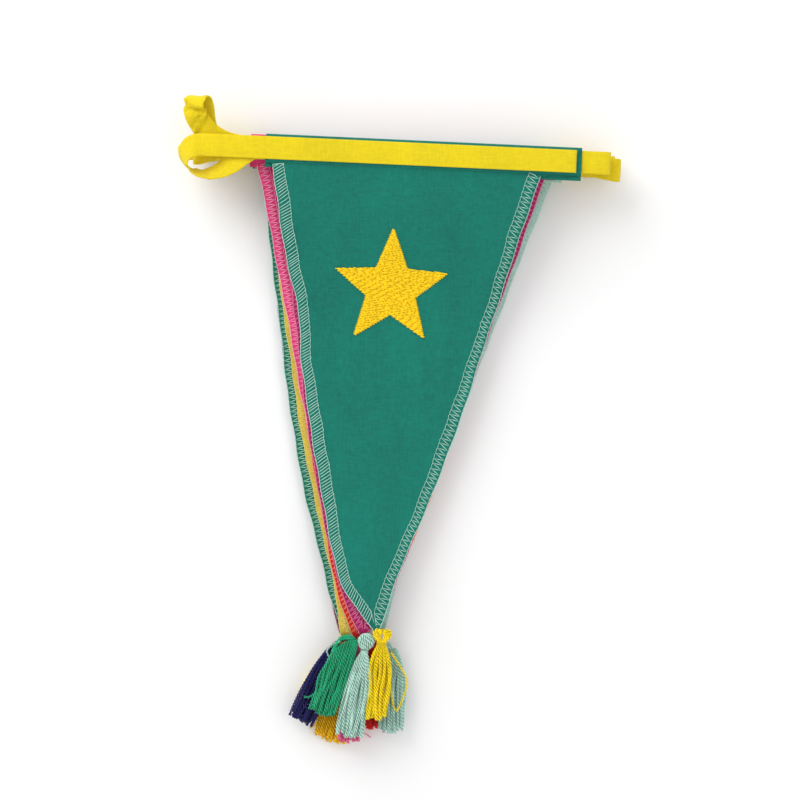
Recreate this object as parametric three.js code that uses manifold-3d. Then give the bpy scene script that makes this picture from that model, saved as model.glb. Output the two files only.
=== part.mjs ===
// A folded cotton bunting: nine overlocked pennants on one tape, stacked flat, each with a yarn tassel.
// Millimetres, +Z up. The stack lies on its back, +X to its right and +Y up the front pennant to the tape.

import * as THREE from 'three';
import { mergeVertices } from 'three/addons/utils/BufferGeometryUtils.js';
import Module from 'manifold-3d';

const wasm = await Module();
wasm.setup();

// Cloth, tape and the gap kept between pieces
const CLOTH_THICK = 1.0;
const GAP = 0.3;
const TAPE_WIDTH = 10;
const TAPE_THICK = 1.0;
const TAPE_COLOUR = 0xf0d728;

// Sleeve hem: the pennant's top is turned over and sewn down, and the tape runs through its slot
const SLEEVE_WALL = 0.5;
const SLOT_HIGH = TAPE_WIDTH + 2 * GAP;
const SLOT_THICK = TAPE_THICK + 2 * GAP;
const SLEEVE_THICK = SLOT_THICK + 2 * SLEEVE_WALL;
const SLEEVE_FOLD = 0.7;
const SLEEVE_SEAM = 1.3;
const SLEEVE_OVERHANG = 2;
const FRONT_SLEEVE_RIGHT = 80;

// How the nine layers lie on each other, at the sleeves and where the bare cloth lies flat
const LAYERS = 9;
const HEM_PITCH = SLEEVE_THICK + GAP;
const CLOTH_GAP = 0.32;
const CLOTH_PITCH = CLOTH_THICK + CLOTH_GAP;
const TIP_LIFT = 3.3;
const FLAT_FROM = 80;
const LIFT_FROM = 150;
const LIFT_TO = 200;

// The stack is turned a little, and moved so that its box is centred on the origin
const HEM_TILT = 2.6;
const STACK_SHIFT = { x: 0.09, y: 118.19 };

// One cut serves every pennant: its half width at some distances below the hem's middle line
const CUT_LENGTH = 211;
const CUT_DOWN = [0, 48, 130, 190, 205, 211];
const CUT_HALF = [60.5, 49.2, 29.9, 11.7, 4.4, 0.9];

// Where the middle of a pennant lies at these shares of its length
const MIDDLE_AT = [0, 0.616, 0.9, 1];

// Rows of the cloth's grid, in millimetres below the hem's middle line; the tip's own row follows
const CLOTH_ROWS = [5.9, 20, 35, 50, 65, 80, 110, 150, 170, 185, 200, 206];
const CLOTH_COLUMNS = 4;
const FRONT_COLUMNS = 8;
const EDGE_CURL = 0.8;
const CURL_POWER = 6;

// A row for each pennant, front first: where its middle lies at the hem, the waist, the ankle and the tip
const PENNANTS = [
  { name: 'teal', colour: 0x23826f, hem: 3.3, waist: -2.4, ankle: -5.0, tip: -0.6, length: 211 },
  { name: 'magenta', colour: 0xaa1e5f, hem: 6, waist: -3.6, ankle: -5.6, tip: -7.4, length: 212 },
  { name: 'pink', colour: 0xe14b82, hem: -3.6, waist: -2.9, ankle: -4.6, tip: -6.5, length: 211 },
  { name: 'red', colour: 0xd72823, hem: 1, waist: -2.9, ankle: -5.8, tip: -10.3, length: 213 },
  { name: 'yellow', colour: 0xd7be46, hem: -1.5, waist: -6.6, ankle: -8.6, tip: -15.3, length: 213.5 },
  { name: 'green', colour: 0x1f7a5c, hem: -2.4, waist: -10.4, ankle: -12.2, tip: -15, length: 213.5 },
  { name: 'mint', colour: 0xa9d8cc, hem: 10, waist: -4, ankle: -5.4, tip: 2.2, length: 210 },
  { name: 'navy', colour: 0x1d1a55, hem: -1.2, waist: -11.1, ankle: -5.4, tip: 1.4, length: 210 },
  { name: 'plum', colour: 0x6b1533, hem: 0, waist: -8, ankle: -10.5, tip: -14.5, length: 214 },
];

// The front pennant's left edge is drawn in a little beside the star: how far, where and over what reach
const FRONT_NIP = { deep: 2.1, down: 73, reach: 15 };

// A row for each pennant's tassel: name, colour, level in the pile, x and y of its head, x and y of the
// middle of its cut end, and its half spread there
const TASSELS = [
  ['yellow', 0xebcd0a, 2, 1.7, -214.6, 0.6, -251.5, 4.1],
  ['mint', 0xa0c8be, 2, -5.3, -216.9, -11.2, -259.4, 5.8],
  ['pink', 0xe65a8c, 1, -7.5, -221, -11, -262.2, 4.8],
  ['mustard', 0xd7a50f, 0, -9.7, -221.5, -19.9, -262.5, 7.2],
  ['green', 0x239669, 2, -12.9, -217.3, -24.1, -250, 5.5],
  ['navy', 0x191655, 1, -16.5, -218.5, -33.8, -254.1, 5.6],
  ['sea', 0x9fbfb8, 1, 6, -219.5, 7.4, -257, 5.3],
  ['red', 0xd2281e, 0, -1.4, -222.1, -1.1, -256.4, 5.8],
  ['lemon', 0xe0c81e, 0, -17.8, -221.4, -31.5, -245, 4.6],
].map(([name, colour, level, headX, headY, endX, endY, spread]) => (
  { name, colour, level, headX, headY, endX, endY, spread }
));

// Sizes that all tassels share
const LEVEL_PITCH = 5.6;
const HEAD_RADIUS = 3.5;
const HEAD_FLATTEN = 0.86;
const HEAD_RINGS = 5;
const HEAD_SIDES = 10;
const NECK_RADIUS = 1.9;
const NECK_AT = 4.2;
const COLLAR_END = 6.2;
const COLLAR_FLARE = 0.3;
const ROOT_AT = 3.4;
const ROOT_INSET = 0.2;
const STRAND_COLUMNS = 7;
const STRAND_FILL = 0.82;
const STRAND_STEPS = 4;
const STEP_POWER = 1.5;
const FLARE_POWER = 2;
const STRAND_HALF_HIGH = 0.95;
const ROOT_HALF_HIGH = 0.45;
const ROW_HALF_PITCH = STRAND_HALF_HIGH + GAP / 2;
const ROOT_ROW_HALF_PITCH = 0.6;
const SETTLE_SHARE = 0.35;
const RAGGED = [0, 2.1, 0.6, 1.7, 0.3, 2.4, 1.1];
const TIE_THICK = 1.0;
const TIE_GAP = GAP + 0.05;

// The embroidered star on the front pennant
const STAR = { colour: 0xe6c81e, x: -1.3, down: 59.2, outer: 26, inner: 11.2, thick: 0.9, points: 5 };

// How matt each material is, and how near two points are when they are taken as one
const CLOTH_ROUGH = 0.85;
const TAPE_ROUGH = 0.8;
const STITCH_ROUGH = 0.7;
const YARN_ROUGH = 0.9;
const SAME_POINT = 1e-5;

const mix = THREE.MathUtils.lerp;
const ease = THREE.MathUtils.smoothstep;

// A smooth value through a short list of knots
function smoothAt(knots, values, at) {
  const last = knots.length - 1;
  const slope = (k) => {
    const before = Math.max(k - 1, 0);
    const after = Math.min(k + 1, last);
    return (values[after] - values[before]) / (knots[after] - knots[before]);
  };
  let k = 0;
  while (k < last - 1 && at > knots[k + 1]) k += 1;
  const span = knots[k + 1] - knots[k];
  const t = (at - knots[k]) / span;
  const start = (1 + 2 * t) * (1 - t) * (1 - t) * values[k] + t * (1 - t) * (1 - t) * span * slope(k);
  const end = t * t * (3 - 2 * t) * values[k + 1] + t * t * (t - 1) * span * slope(k + 1);
  return start + end;
}

// A box of columns by rows whose points are put in place by a function of (across, along, through),
// across and along from 0 to 1 and through from -0.5 to 0.5
function warpedBox(columns, rows, place) {
  const geometry = new THREE.BoxGeometry(1, 1, 1, columns, rows, 1);
  geometry.deleteAttribute('normal');
  geometry.deleteAttribute('uv');
  const spots = geometry.attributes.position;
  for (let i = 0; i < spots.count; i += 1) {
    const p = place(spots.getX(i) + 0.5, spots.getY(i) + 0.5, spots.getZ(i));
    spots.setXYZ(i, p.x, p.y, p.z);
  }
  return mergeVertices(geometry, SAME_POINT);
}

function solidOf(geometry) {
  const bare = geometry.clone();
  bare.deleteAttribute('normal');
  bare.deleteAttribute('uv');
  const merged = mergeVertices(bare, SAME_POINT);
  const vertProperties = new Float32Array(merged.attributes.position.array);
  const triVerts = new Uint32Array(merged.index.array);
  return new wasm.Manifold(new wasm.Mesh({ numProp: 3, vertProperties, triVerts }));
}

function geometryOf(solid) {
  const mesh = solid.getMesh();
  const geometry = new THREE.BufferGeometry();
  geometry.setAttribute('position', new THREE.BufferAttribute(mesh.vertProperties, 3));
  geometry.setIndex(new THREE.BufferAttribute(mesh.triVerts, 1));
  return geometry;
}

function namedMesh(name, geometry, colour, roughness) {
  const material = new THREE.MeshStandardMaterial({ color: colour, roughness, metalness: 0 });
  const mesh = new THREE.Mesh(geometry, material);
  mesh.name = name;
  return mesh;
}

// Height of a layer's middle plane at its sleeve, and some way down the cloth
const hemHeight = (layer) => SLEEVE_THICK / 2 + HEM_PITCH * (LAYERS - 1 - layer);

function clothHeight(layer, down) {
  const flat = CLOTH_THICK / 2 + CLOTH_PITCH * (LAYERS - 1 - layer);
  const fallen = ease(down, CLOTH_ROWS[0], FLAT_FROM);
  return mix(hemHeight(layer), flat, fallen) + TIP_LIFT * ease(down, LIFT_FROM, LIFT_TO);
}

// A pennant's left and right edge at a distance below the hem's middle line
function edgesAt(pennant, down) {
  const share = down / pennant.length;
  const half = smoothAt(CUT_DOWN, CUT_HALF, share * CUT_LENGTH);
  const middle = smoothAt(MIDDLE_AT, [pennant.hem, pennant.waist, pennant.ankle, pennant.tip], share);
  const { deep, down: at, reach } = FRONT_NIP;
  const nip = pennant === PENNANTS[0] ? deep * Math.exp(-(((down - at) / reach) ** 2)) : 0;
  return { left: middle - half + nip, right: middle + half };
}

// A layer of the pennant's cloth between two heights above its middle plane
function clothLayer(layer, columns, low, high) {
  const pennant = PENNANTS[layer];
  const downs = [...CLOTH_ROWS, pennant.length];
  const curl = layer === 0 ? EDGE_CURL : 0;
  return warpedBox(columns, downs.length - 1, (across, along, through) => {
    const down = downs[Math.round((1 - along) * (downs.length - 1))];
    const { left, right } = edgesAt(pennant, down);
    const lift = curl * Math.abs(2 * across - 1) ** CURL_POWER;
    const height = clothHeight(layer, down) + lift + mix(low, high, through + 0.5);
    return new THREE.Vector3(mix(left, right, across), -down, height);
  });
}

// The sleeve hem, a flattened tube along X around the tape's slot
function sleeve(layer) {
  const pennant = PENNANTS[layer];
  const { left, right } = edgesAt(pennant, 0);
  const from = left - SLEEVE_OVERHANG;
  const to = layer === 0 ? FRONT_SLEEVE_RIGHT : right + SLEEVE_OVERHANG;
  const low = -SLOT_HIGH / 2;
  const high = SLOT_HIGH / 2;
  const out = SLEEVE_THICK / 2;
  const outline = new THREE.Shape([
    new THREE.Vector2(low - SLEEVE_SEAM, -CLOTH_THICK / 2),
    new THREE.Vector2(low, -out),
    new THREE.Vector2(high, -out),
    new THREE.Vector2(high + SLEEVE_FOLD, -out / 2),
    new THREE.Vector2(high + SLEEVE_FOLD, out / 2),
    new THREE.Vector2(high, out),
    new THREE.Vector2(low, out),
    new THREE.Vector2(low - SLEEVE_SEAM, CLOTH_THICK / 2),
  ]);
  const slot = SLOT_THICK / 2;
  outline.holes.push(new THREE.Path([
    new THREE.Vector2(low, -slot),
    new THREE.Vector2(low, slot),
    new THREE.Vector2(high, slot),
    new THREE.Vector2(high, -slot),
  ]));
  const tube = new THREE.ExtrudeGeometry(outline, { depth: to - from, bevelEnabled: false });
  // The outline's (x, y) become (Y, Z), and the extrusion runs along X
  tube.applyMatrix4(new THREE.Matrix4().set(
    0, 0, 1, from,
    1, 0, 0, 0,
    0, 1, 0, hemHeight(layer),
    0, 0, 0, 1,
  ));
  return tube;
}

function pennantMesh(layer) {
  const columns = layer === 0 ? FRONT_COLUMNS : CLOTH_COLUMNS;
  const cloth = solidOf(clothLayer(layer, columns, -CLOTH_THICK / 2, CLOTH_THICK / 2));
  const whole = geometryOf(cloth.add(solidOf(sleeve(layer))));
  const { name, colour } = PENNANTS[layer];
  return namedMesh(`pennant_${layer + 1}_${name}`, whole, colour, CLOTH_ROUGH);
}

// The star is cut from a thin layer that follows the front cloth, so that it lies on it evenly
function starMesh() {
  const corners = [];
  for (let i = 0; i < 2 * STAR.points; i += 1) {
    const reach = i % 2 ? STAR.inner : STAR.outer;
    const turn = Math.PI / 2 + (i * Math.PI) / STAR.points;
    corners.push(new THREE.Vector2(STAR.x + reach * Math.cos(turn), -STAR.down + reach * Math.sin(turn)));
  }
  const tall = 2 * HEM_PITCH * LAYERS;
  const prism = new THREE.ExtrudeGeometry(new THREE.Shape(corners), { depth: tall, bevelEnabled: false });
  const low = CLOTH_THICK / 2 + GAP;
  const layer = solidOf(clothLayer(0, FRONT_COLUMNS, low, low + STAR.thick));
  return namedMesh('star_embroidery', geometryOf(layer.intersect(solidOf(prism))), STAR.colour, STITCH_ROUGH);
}

// The tape's course. Each station has a place and either the direction of its width or a roll in degrees
// about its own course, 0 where the tape lies flat
const ACROSS_Y = [0, 1, 0];
const TAIL_END = 77.7;
const TAIL_HEIGHT = hemHeight(0) + SLEEVE_THICK / 2 + GAP + TAPE_THICK / 2;

// The open loop at the left that brings the tail round and into the front sleeve, standing on its edge
const OPEN_LOOP = [
  { x: -86, y: 0, lift: TAIL_HEIGHT - hemHeight(0), roll: 0 },
  { x: -90.5, y: -0.5, lift: 2.3, roll: 8 },
  { x: -94, y: -2.8, lift: 1.6, roll: 35 },
  { x: -95.2, y: -6.4, lift: 0.2, roll: 65 },
  { x: -93.6, y: -9.8, lift: -1.2, roll: 90 },
  { x: -89.8, y: -11.9, lift: -1.8, roll: 108 },
  { x: -84.5, y: -12.2, lift: -1.6, roll: 118 },
  { x: -79, y: -10.6, lift: -0.6, roll: 138 },
  { x: -74, y: -7.2, lift: 0.4, roll: 163 },
  { x: -69.5, y: -3.4, lift: 0.3, roll: 174 },
  { x: -66, y: -0.9, lift: 0, roll: 179 },
];

// The loop at the left that runs up past the hem, folds over askew and comes back beneath, from sleeve 2
// to 3: x, y, lift and the direction of its width
const RAISED_LOOP = [
  [-62, 0, 0, 0, 1, 0],
  [-70, 0.3, 0, 0, 1, 0],
  [-78, 2, 0.1, 0.25, 0.97, 0],
  [-84.5, 5.5, 0.8, 0.6, 0.8, 0],
  [-88.8, 10, 2.2, 0.9, 0.4, 0.12],
  [-91, 14, 3.6, 0.93, 0.1, 0.3],
  [-91.8, 17.5, 4.2, 0.88, 0, 0.45],
  [-91, 20.4, 3.6, 0.88, 0, 0.45],
  [-89.6, 21.6, 1.9, 0.88, 0, 0.45],
  [-88.3, 20.6, 0, 0.88, 0, 0.45],
  [-87.4, 17.4, -1.2, 0.9, 0, 0.42],
  [-87.2, 13.4, -1.8, 0.95, 0.05, 0.25],
  [-86.6, 9.4, -2.1, 0.97, 0.2, 0.1],
  [-84.5, 5.4, -2.4, 0.8, 0.6, 0],
  [-79.5, 1.8, -2.7, 0.35, 0.94, 0],
  [-74, 0.2, -2.9, 0, 1, 0],
].map(([x, y, lift, ...wide]) => ({ x, y, lift, wide }));

// Where the loops at the left have come back into line with their sleeves
const OPEN_LOOP_END = -62.5;
const RAISED_LOOP_END = -69;

// A row for each plain fold: its side, how far it reaches and how far it sags down the page, by sleeve
const FOLDS = [
  { after: 0, side: 1, reach: 92.5, sag: 0 },
  { after: 2, side: 1, reach: 97.4, sag: 2.4 },
  { after: 3, side: -1, reach: 91, sag: 3 },
  { after: 4, side: 1, reach: 94, sag: 1 },
  { after: 5, side: -1, reach: 95, sag: 0.6 },
  { after: 6, side: 1, reach: 95.5, sag: 0.4 },
  { after: 7, side: -1, reach: 88, sag: 1 },
];
const FOLD_FROM = 81;
const FOLD_STEPS = 6;
const LAST_END = 90;

function foldStations({ after, side, reach, sag }) {
  const upper = hemHeight(after);
  const lower = hemHeight(after + 1);
  const radius = (upper - lower) / 2;
  const turnAt = reach - radius;
  const stations = [];
  const outward = [0, 0.5, 1];
  const sagAt = (share) => -sag * ease(share, 0, 1);
  outward.forEach((share) => {
    stations.push({ x: side * mix(FOLD_FROM, turnAt, share), y: sagAt(share), z: upper });
  });
  for (let i = 1; i < FOLD_STEPS; i += 1) {
    const turn = (Math.PI * i) / FOLD_STEPS;
    const x = side * (turnAt + radius * Math.sin(turn));
    stations.push({ x, y: -sag, z: lower + radius + radius * Math.cos(turn) });
  }
  outward.reverse().forEach((share) => {
    stations.push({ x: side * mix(FOLD_FROM, turnAt, share), y: sagAt(share), z: lower });
  });
  return stations;
}

function tapeStations() {
  const raised = ({ lift, ...station }, base) => ({ ...station, z: base + lift });
  const stations = [{ x: TAIL_END, y: 0, z: TAIL_HEIGHT }];
  OPEN_LOOP.forEach((station) => stations.push(raised(station, hemHeight(0))));
  stations.push({ x: OPEN_LOOP_END, y: 0, z: hemHeight(0) });
  stations.push(...foldStations(FOLDS[0]));
  RAISED_LOOP.forEach((station) => stations.push(raised(station, hemHeight(1))));
  stations.push({ x: RAISED_LOOP_END, y: 0, z: hemHeight(2) });
  FOLDS.slice(1).forEach((fold) => stations.push(...foldStations(fold)));
  stations.push({ x: LAST_END, y: 0, z: hemHeight(LAYERS - 1) });
  return stations;
}

function tapeMesh() {
  const stations = tapeStations();
  const spots = stations.map(({ x, y, z }) => new THREE.Vector3(x, y, z));
  const last = spots.length - 1;
  const up = new THREE.Vector3(0, 0, 1);
  const frames = spots.map((spot, i) => {
    const course = spots[Math.min(i + 1, last)].clone().sub(spots[Math.max(i - 1, 0)]).normalize();
    const { roll, wide = ACROSS_Y } = stations[i];
    const across = new THREE.Vector3(...wide);
    if (roll !== undefined) {
      const turn = THREE.MathUtils.degToRad(roll);
      across.crossVectors(course, up).normalize().multiplyScalar(Math.cos(turn));
      across.addScaledVector(up, -Math.sin(turn));
    }
    across.addScaledVector(course, -across.dot(course)).normalize();
    return { spot, across, face: across.clone().cross(course) };
  });
  const ribbon = warpedBox(1, last, (across, along, through) => {
    const { spot, across: side, face } = frames[Math.round(along * last)];
    const point = spot.clone().addScaledVector(side, (across - 0.5) * TAPE_WIDTH);
    return point.addScaledVector(face, through * TAPE_THICK);
  });
  return namedMesh('tape', ribbon, TAPE_COLOUR, TAPE_ROUGH);
}

// A tassel lies in its own frame: along its length, to its side and up from the surface
function tasselMesh(index) {
  const tassel = TASSELS[index];
  const pennant = PENNANTS[index];
  const base = tassel.level * LEVEL_PITCH;
  const headZ = base + HEAD_RADIUS * HEAD_FLATTEN;
  const skirtZ = base + ROW_HALF_PITCH + STRAND_HALF_HIGH;
  const head = new THREE.Vector2(tassel.headX, tassel.headY);
  const reach = new THREE.Vector2(tassel.endX, tassel.endY).sub(head);
  const length = reach.length();
  const along = reach.clone().normalize();
  const side = new THREE.Vector2(along.y, -along.x);
  const at = (down, aside, z) => new THREE.Vector3(
    head.x + along.x * down + side.x * aside,
    head.y + along.y * down + side.y * aside,
    z,
  );

  // Head and neck, turned round the tassel's axis and flattened a little
  const profile = [];
  const arc = Math.PI - Math.asin(NECK_RADIUS / HEAD_RADIUS);
  for (let i = 0; i <= HEAD_RINGS; i += 1) {
    const turn = (arc * i) / HEAD_RINGS;
    profile.push(new THREE.Vector2(HEAD_RADIUS * Math.sin(turn), -HEAD_RADIUS * Math.cos(turn)));
  }
  profile.push(new THREE.Vector2(NECK_RADIUS, NECK_AT));
  profile.push(new THREE.Vector2(NECK_RADIUS + COLLAR_FLARE, COLLAR_END));
  profile.push(new THREE.Vector2(0, COLLAR_END));
  profile[0].x = 0;
  const turned = new THREE.LatheGeometry(profile, HEAD_SIDES);
  // The lathe's axis becomes the tassel's length
  turned.applyMatrix4(new THREE.Matrix4().set(
    side.x, along.x, 0, head.x,
    side.y, along.y, 0, head.y,
    0, 0, HEAD_FLATTEN, headZ,
    0, 0, 0, 1,
  ));
  let whole = solidOf(turned);

  // Two rows of cut strands, narrow at the neck and full at the end
  for (let row = 0; row < 2; row += 1) {
    const rowSign = row ? 1 : -1;
    for (let column = 0; column < STRAND_COLUMNS; column += 1) {
      const share = (column - (STRAND_COLUMNS - 1) / 2) / (STRAND_COLUMNS / 2);
      const cut = RAGGED[(column + 3 * row + index) % RAGGED.length];
      const end = length - cut;
      const strand = warpedBox(1, STRAND_STEPS, (across, course, through) => {
        const down = mix(ROOT_AT, end, course ** STEP_POWER);
        const t = (down - ROOT_AT) / (length - ROOT_AT);
        const half = mix(NECK_RADIUS - ROOT_INSET, tassel.spread, 1 - (1 - t) ** FLARE_POWER);
        const settled = ease(t, 0, SETTLE_SHARE);
        const wide = (2 * half * STRAND_FILL) / STRAND_COLUMNS;
        const high = 2 * mix(ROOT_HALF_HIGH, STRAND_HALF_HIGH, settled);
        const rowZ = rowSign * mix(ROOT_ROW_HALF_PITCH, ROW_HALF_PITCH, settled);
        const z = mix(headZ, skirtZ, settled) + rowZ + through * high;
        return at(down, share * half + (across - 0.5) * wide, z);
      });
      whole = whole.add(solidOf(strand));
    }
  }

  // The yarn tie that hangs the head from its pennant's tip
  const tipZ = clothHeight(index, pennant.length);
  const tie = warpedBox(1, 1, (across, course, through) => new THREE.Vector3(
    mix(tassel.headX, pennant.tip, course) + (across - 0.5) * TIE_THICK,
    mix(tassel.headY, -pennant.length - TIE_GAP, course),
    mix(headZ, tipZ, course) + through * TIE_THICK,
  ));
  whole = whole.add(solidOf(tie));
  return namedMesh(`tassel_${index + 1}_${tassel.name}`, geometryOf(whole), tassel.colour, YARN_ROUGH);
}

// The whole stack, turned by the hem's tilt and centred
const stack = new THREE.Group();
stack.rotation.z = THREE.MathUtils.degToRad(-HEM_TILT);
stack.position.set(STACK_SHIFT.x, STACK_SHIFT.y, 0);
stack.add(tapeMesh());
stack.add(starMesh());
for (let layer = 0; layer < LAYERS; layer += 1) {
  stack.add(pennantMesh(layer));
  stack.add(tasselMesh(layer));
}

const bunting = new THREE.Group();
bunting.add(stack);

export default bunting;
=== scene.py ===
# %% [markdown]
# # A folded cotton bunting
# The object is a string of nine cotton pennants, folded for sale: the pennants lie stacked, the yellow
# tape that carries them runs back and forth through their hems, and a yarn tassel hangs from each tip.
# The solids give every place and size. This script dresses them: thin cloth, threads, stitches and yarn.

# %% Load the frame
import math
from functools import partial

import bpy
import numpy as np
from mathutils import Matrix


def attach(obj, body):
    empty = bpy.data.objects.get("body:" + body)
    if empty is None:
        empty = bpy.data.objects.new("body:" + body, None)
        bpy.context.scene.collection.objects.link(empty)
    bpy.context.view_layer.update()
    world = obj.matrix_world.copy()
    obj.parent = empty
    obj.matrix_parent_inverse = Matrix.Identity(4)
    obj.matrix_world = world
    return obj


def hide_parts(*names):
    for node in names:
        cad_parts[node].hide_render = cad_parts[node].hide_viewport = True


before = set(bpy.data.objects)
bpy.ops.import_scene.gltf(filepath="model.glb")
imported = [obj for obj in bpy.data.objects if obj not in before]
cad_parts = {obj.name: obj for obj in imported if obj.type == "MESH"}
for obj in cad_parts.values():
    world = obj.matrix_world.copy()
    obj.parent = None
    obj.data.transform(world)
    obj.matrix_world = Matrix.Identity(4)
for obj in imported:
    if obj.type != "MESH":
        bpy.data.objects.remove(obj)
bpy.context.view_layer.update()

# %% [markdown]
# ## One measure for all pieces
# The stack lies turned by a few degrees, so it is easier to work in the hem's own millimetres: X along
# the hem, Y up the pennant, Z up from the surface. One function turns such points into the frame's metres.

# %% Hem millimetres to metres
HEM_TILT = math.radians(2.6)
STACK_SHIFT = (0.09, 118.19)
PHOTO_MM = 0.444
HEM_PIXEL = (400, 156)
TURN_COS, TURN_SIN = math.cos(HEM_TILT), math.sin(HEM_TILT)


def place(points):
    """Hem millimetres to metres in the shared frame."""
    p = np.asarray(points, float).reshape(-1, 3)
    x = p[:, 0] * TURN_COS + p[:, 1] * TURN_SIN + STACK_SHIFT[0]
    y = -p[:, 0] * TURN_SIN + p[:, 1] * TURN_COS + STACK_SHIFT[1]
    return np.column_stack([x, y, p[:, 2]]) / 1000


def from_picture(px, py):
    """A point of the picture, seen from straight above, to hem millimetres."""
    right = (px - HEM_PIXEL[0]) * PHOTO_MM
    up = (HEM_PIXEL[1] - py) * PHOTO_MM
    return right * TURN_COS - up * TURN_SIN, right * TURN_SIN + up * TURN_COS


print("tip of the front pennant", place([(-0.6, -211, 15)])[0].round(4))

# %% [markdown]
# ## Curves and threads
# Overlock thread, embroidery and yarn are all a long thin section drawn along a path. Blender's curve
# objects could do it, but a mesh made with numpy lets each step of the path turn and swell the section,
# and thousands of threads are made in a second.

# %% Smooth values and paths
def mix(a, b, t):
    return a + (b - a) * t


def ease(x, low, high):
    t = np.clip((np.asarray(x, float) - low) / (high - low), 0, 1)
    return t * t * (3 - 2 * t)


def smooth_at(knots, values, at):
    """A smooth value through a short list of knots."""
    knots, values, at = (np.asarray(v, float) for v in (knots, values, at))
    last = len(knots) - 1
    before = np.maximum(np.arange(last + 1) - 1, 0)
    after = np.minimum(np.arange(last + 1) + 1, last)
    slope = (values[after] - values[before]) / (knots[after] - knots[before])
    k = np.clip(np.searchsorted(knots, at) - 1, 0, last - 1)
    span = knots[k + 1] - knots[k]
    t = (at - knots[k]) / span
    start = (1 + 2 * t) * (1 - t) ** 2 * values[k] + t * (1 - t) ** 2 * span * slope[k]
    end = t * t * (3 - 2 * t) * values[k + 1] + t * t * (t - 1) * span * slope[k + 1]
    return start + end


def unit(vectors):
    """The vectors, one to a row, with a length of one."""
    return vectors / (np.linalg.norm(vectors, axis=-1, keepdims=True) + 1e-9)


def run_along(points):
    """The distance run along a path, at each of its points."""
    return np.concatenate([[0], np.cumsum(np.linalg.norm(np.diff(points, axis=0), axis=1))])


def smooth_path(points, step):
    """A smooth path through the points, with a point about every step."""
    points = np.asarray(points, float)
    run = run_along(points)
    at = np.linspace(0, run[-1], max(3, int(run[-1] / step) + 1))
    return np.column_stack([smooth_at(run, points[:, i], at) for i in range(3)])


print("halfway on a smooth rise", float(ease(0.5, 0, 1)), "a quarter up it", float(ease(0.25, 0, 1)))

# %% Swept threads


def ring(sides, radius=1.0):
    """A round thread's section."""
    turn = np.arange(sides) * 2 * math.pi / sides
    return np.column_stack([radius * np.cos(turn), radius * np.sin(turn)])


def sideways(path, up):
    """The directions to the side of a path and out of it, at each of its points."""
    along = unit(np.gradient(path, axis=0))
    side = unit(np.cross(along, np.broadcast_to(up, along.shape)))
    return side, np.cross(side, along)


def sweep(path, section, up=(0, 0, 1), turn=None, size=None):
    """Draws the section along the path: points, and faces that look outwards."""
    path, section = np.asarray(path, float), np.asarray(section, float)
    n, m = len(path), len(section)
    turn = np.zeros(n) if turn is None else np.asarray(turn, float)
    size = np.ones(n) if size is None else np.asarray(size, float)
    side, lift = sideways(path, up)
    c, s = np.cos(turn)[:, None], np.sin(turn)[:, None]
    a = (section[:, 0] * c - section[:, 1] * s) * size[:, None]
    b = (section[:, 0] * s + section[:, 1] * c) * size[:, None]
    points = path[:, None] + a[..., None] * side[:, None] + b[..., None] * lift[:, None]
    i = np.arange((n - 1) * m).reshape(n - 1, m)
    j = np.roll(i, -1, axis=1)
    faces = np.stack([i, i + m, j + m, j], axis=-1).reshape(-1, 4).tolist()
    faces.append(list(range(m)))
    faces.append(list(range(n * m - 1, (n - 1) * m - 1, -1)))
    return points.reshape(-1, 3), faces


# The ply mask's value where it paints neither shade nor highlight: such a point keeps the plain colour
PLY_SHADE_NEUTRAL = 0.72


class Heap:
    """Gathers many small forms into one mesh, with how far each point stands out of its yarn, the mask for
    painted ply shade and highlight.
    """

    def __init__(self):
        self.points, self.faces, self.raised, self.count = [], [], [], 0

    def add(self, points, faces, raised=None):
        self.points.append(points)
        self.raised.append(np.full(len(points), PLY_SHADE_NEUTRAL) if raised is None else raised)
        self.faces += [[k + self.count for k in face] for face in faces]
        self.count += len(points)

    def thread(self, path, radius, sides=4, **more):
        self.add(*sweep(path, ring(sides, radius), **more))


print("a straight thread has", len(sweep([(0, 0, 0), (1, 0, 0)], ring(4))[0]), "points")

# %% Meshes that ride on the part


def add_object(name, data):
    thing = bpy.data.objects.new(name, data)
    bpy.context.scene.collection.objects.link(thing)
    return thing


def make_piece(name, points, faces, material, replaces=()):
    """A smooth mesh that rides on the root body, with the finish it is given."""
    mesh = bpy.data.meshes.new(name)
    mesh.from_pydata(place(points).tolist(), [], faces)
    mesh.materials.append(material)
    mesh.polygons.foreach_set("use_smooth", [True] * len(mesh.polygons))
    piece = add_object(name, mesh)
    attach(piece, "root")
    if replaces:
        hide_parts(*replaces)
    return piece


def make_heap(name, heap, material, replaces=()):
    piece = make_piece(name, np.concatenate(heap.points), heap.faces, material, replaces)
    # How far each point stands out of its yarn: the finish paints ply shade and highlight from this mask
    mask = piece.data.attributes.new("raised", "FLOAT", "POINT")
    mask.data.foreach_set("value", np.concatenate(heap.raised))
    return piece


# %% [markdown]
# ## The camera and the light
# The picture looks straight down on the stack with a long lens, so hardly any side shows. Soft light
# comes from a large lamp above the head of the stack and from a pale room. A pale floor carries it.

# %% Camera
FIELD_MM = 800 * PHOTO_MM
VIEW_CENTRE = (0.00009, 0.00985)
LENS, SENSOR = 150, 36
CLOTH_LEVEL = 0.012

camera_data = bpy.data.cameras.new("camera")
camera_data.lens, camera_data.sensor_width = LENS, SENSOR
camera = add_object("camera", camera_data)
camera.location = (*VIEW_CENTRE, CLOTH_LEVEL + FIELD_MM / 1000 * LENS / SENSOR)
bpy.context.scene.camera = camera
bpy.context.scene.view_settings.view_transform = "Standard"
print("camera stands", round(camera.location.z, 3), "m up")

# %% Light and floor
ROOM_LIGHT = 0.86
LAMPS = [
    ("key", (-0.6, 0.8, 0.65), 1.0, 7.0),
    ("fill", (0.9, -0.3, 1.0), 0.9, 1.6),
]

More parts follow.
